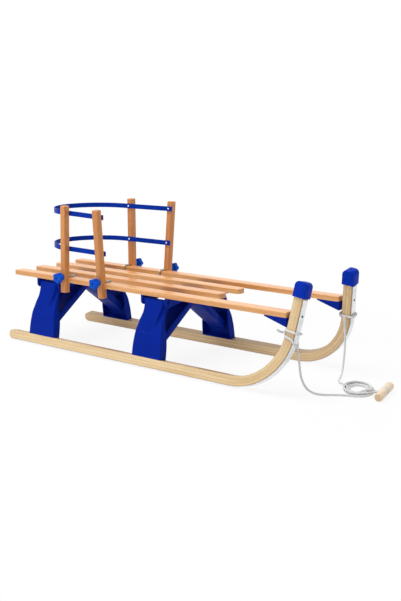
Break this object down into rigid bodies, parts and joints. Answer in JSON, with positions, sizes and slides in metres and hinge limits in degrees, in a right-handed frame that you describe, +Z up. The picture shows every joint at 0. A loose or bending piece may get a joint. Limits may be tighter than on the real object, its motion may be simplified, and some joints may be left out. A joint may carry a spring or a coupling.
{
  "type": "folding wooden sled",
  "caption": "Folding wooden sled with bent-up runners, slatted seat, hollow plastic trestle legs, a clamp-on child backrest and a pull cord with a turned handle.",
  "frame": {"origin": "on the ground under the middle of the sled, between the tails and the caps", "axes": "+X forward, +Y to the far side, +Z up"},
  "size_m": [1.2877, 0.3986, 0.4541],
  "materials": {
    "slat_wood": "clear lacquer",
    "runner_wood": "clear lacquer, laminated",
    "post_wood": "orange-brown stain",
    "handle_wood": "clear lacquer",
    "blue_plastic": "moulded satin",
    "blue_strap": "satin",
    "sole_steel": "rolled",
    "pin_steel": "plated",
    "cord": "twisted white cord"
  },
  "bodies": {
    "seat": {"inner_near_slat": "slat_wood", "inner_far_slat": "slat_wood", "near_outer_slat": "slat_wood", "far_outer_slat": "slat_wood", "near_front_post": "post_wood", "near_rear_post": "post_wood", "far_front_post": "post_wood", "far_rear_post": "post_wood", "near_front_hook_bolt": "pin_steel", "near_rear_hook_bolt": "pin_steel", "far_front_hook_bolt": "pin_steel", "far_rear_hook_bolt": "pin_steel", "pull_handle": "handle_wood", "front_beam": "blue_plastic", "rear_beam": "blue_plastic", "near_wedge": "blue_plastic", "far_wedge": "blue_plastic", "near_front_knob": "blue_plastic", "near_rear_knob": "blue_plastic", "far_front_knob": "blue_plastic", "far_rear_knob": "blue_plastic", "lower_back_band": "blue_strap", "upper_back_band": "blue_strap", "near_wedge_pin": "pin_steel", "far_wedge_pin": "pin_steel", "front_leg_pins": "pin_steel", "rear_leg_pins": "pin_steel", "front_brace_pins": "pin_steel", "rear_brace_pins": "pin_steel", "near_pull_cord": "cord", "far_pull_cord": "cord", "handle_cord": "cord", "cord_hank": "cord"},
    "near_side": {"near_runner": "runner_wood", "near_sole": "sole_steel", "near_cap": "blue_plastic", "near_cord_loop": "cord", "near_front_leg": "blue_plastic", "near_rear_leg": "blue_plastic"},
    "far_side": {"far_runner": "runner_wood", "far_sole": "sole_steel", "far_cap": "blue_plastic", "far_cord_loop": "cord", "far_front_leg": "blue_plastic", "far_rear_leg": "blue_plastic"},
    "near_braces": {"near_front_brace": "blue_plastic", "near_rear_brace": "blue_plastic"},
    "far_braces": {"far_front_brace": "blue_plastic", "far_rear_brace": "blue_plastic", "front_latch": "pin_steel", "rear_latch": "pin_steel"}
  },
  "joints": [
    {"name": "near_fold", "type": "hinge", "parent": "seat", "child": "near_side", "pos_m": [0, -0.146, 0.196], "axis": [-1, 0, 0], "range_deg": [0, 79.7]},
    {"name": "far_fold", "type": "hinge", "parent": "seat", "child": "far_side", "pos_m": [0, 0.146, 0.196], "axis": [1, 0, 0], "range_deg": [0, 79.7]},
    {"name": "near_brace_fold", "type": "hinge", "parent": "seat", "child": "near_braces", "pos_m": [0, -0.01, 0.194], "axis": [-1, 0, 0], "range_deg": [0, 32]},
    {"name": "far_brace_fold", "type": "hinge", "parent": "seat", "child": "far_braces", "pos_m": [0, 0.01, 0.194], "axis": [1, 0, 0], "range_deg": [0, 32]}
  ],
  "couplings": [
    {"joint": "near_brace_fold", "follows": "near_fold", "ratio": 0.4015},
    {"joint": "far_brace_fold", "follows": "far_fold", "ratio": 0.4015}
  ]
}
